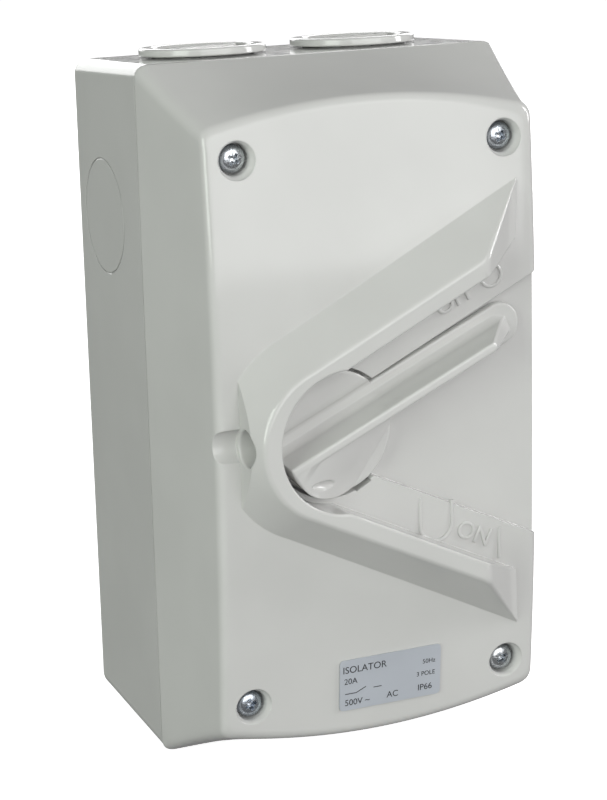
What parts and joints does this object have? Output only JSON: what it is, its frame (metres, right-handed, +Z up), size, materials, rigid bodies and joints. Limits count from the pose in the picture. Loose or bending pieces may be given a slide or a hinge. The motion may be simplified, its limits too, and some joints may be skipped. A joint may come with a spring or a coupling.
{
  "type": "rotary isolator switch",
  "caption": "Weatherproof wall-mounted isolator: a tall box with conduit plugs on top and a turning lever recessed between the arms of a V-shaped guard on its cover.",
  "frame": {"origin": "centre of the flat face that lies on the wall", "axes": "+Z up, the front faces -Y, +X to the right seen from the front, so the wall side is +Y"},
  "size_m": [0.0944, 0.0865, 0.1716],
  "materials": {
    "moulded_box_plastic": "smooth warm light grey moulding, semi-gloss",
    "handle_plastic": "smooth warm light grey moulding, semi-gloss",
    "switch_plastic": "black thermoset, fine matt",
    "rotor_nylon": "natural glass-filled nylon",
    "seal_rubber": "black moulded rubber",
    "zinc_steel": "bright zinc-plated steel",
    "spring_steel": "bare spring steel",
    "brass": "machined brass",
    "plated_copper": "silver-plated copper strip",
    "label_film": "printed silver film"
  },
  "bodies": {
    "box": {"rear_base": "moulded_box_plastic", "front_cover": "moulded_box_plastic", "conduit_plug_left": "moulded_box_plastic", "conduit_plug_right": "moulded_box_plastic", "fixing_hole_cap_1": "moulded_box_plastic", "fixing_hole_cap_2": "moulded_box_plastic", "fixing_hole_cap_3": "moulded_box_plastic", "fixing_hole_cap_4": "moulded_box_plastic", "switch_housing": "switch_plastic", "switch_cap": "switch_plastic", "cover_gasket": "seal_rubber", "plug_seal_left": "seal_rubber", "plug_seal_right": "seal_rubber", "cover_screw_1": "zinc_steel", "cover_screw_2": "zinc_steel", "cover_screw_3": "zinc_steel", "cover_screw_4": "zinc_steel", "mounting_plate": "zinc_steel", "plate_screw_1": "zinc_steel", "plate_screw_2": "zinc_steel", "switch_cap_screw_1": "zinc_steel", "switch_cap_screw_2": "zinc_steel", "line_terminal_screw_1": "zinc_steel", "line_terminal_screw_2": "zinc_steel", "line_terminal_screw_3": "zinc_steel", "load_terminal_screw_1": "zinc_steel", "load_terminal_screw_2": "zinc_steel", "load_terminal_screw_3": "zinc_steel", "earth_screw_1": "zinc_steel", "earth_screw_2": "zinc_steel", "neutral_screw_1": "zinc_steel", "neutral_screw_2": "zinc_steel", "threaded_insert_1": "brass", "threaded_insert_2": "brass", "threaded_insert_3": "brass", "threaded_insert_4": "brass", "earth_bar": "brass", "neutral_bar": "brass", "line_contact_1": "plated_copper", "line_contact_2": "plated_copper", "line_contact_3": "plated_copper", "load_contact_1": "plated_copper", "load_contact_2": "plated_copper", "load_contact_3": "plated_copper", "rating_label": "label_film"},
    "lever": {"lever_handle": "handle_plastic", "shaft_seal": "seal_rubber", "retaining_ring": "spring_steel", "spindle": "zinc_steel", "rotor": "rotor_nylon", "detent_ball": "spring_steel", "detent_spring": "spring_steel", "moving_contact_1": "plated_copper", "moving_contact_2": "plated_copper", "moving_contact_3": "plated_copper"}
  },
  "joints": [
    {"name": "lever_turn", "type": "hinge", "parent": "box", "child": "lever", "pos_m": [-0.013, -0.065, 0], "axis": [0, 1, 0], "range_deg": [0, 49]}
  ]
}
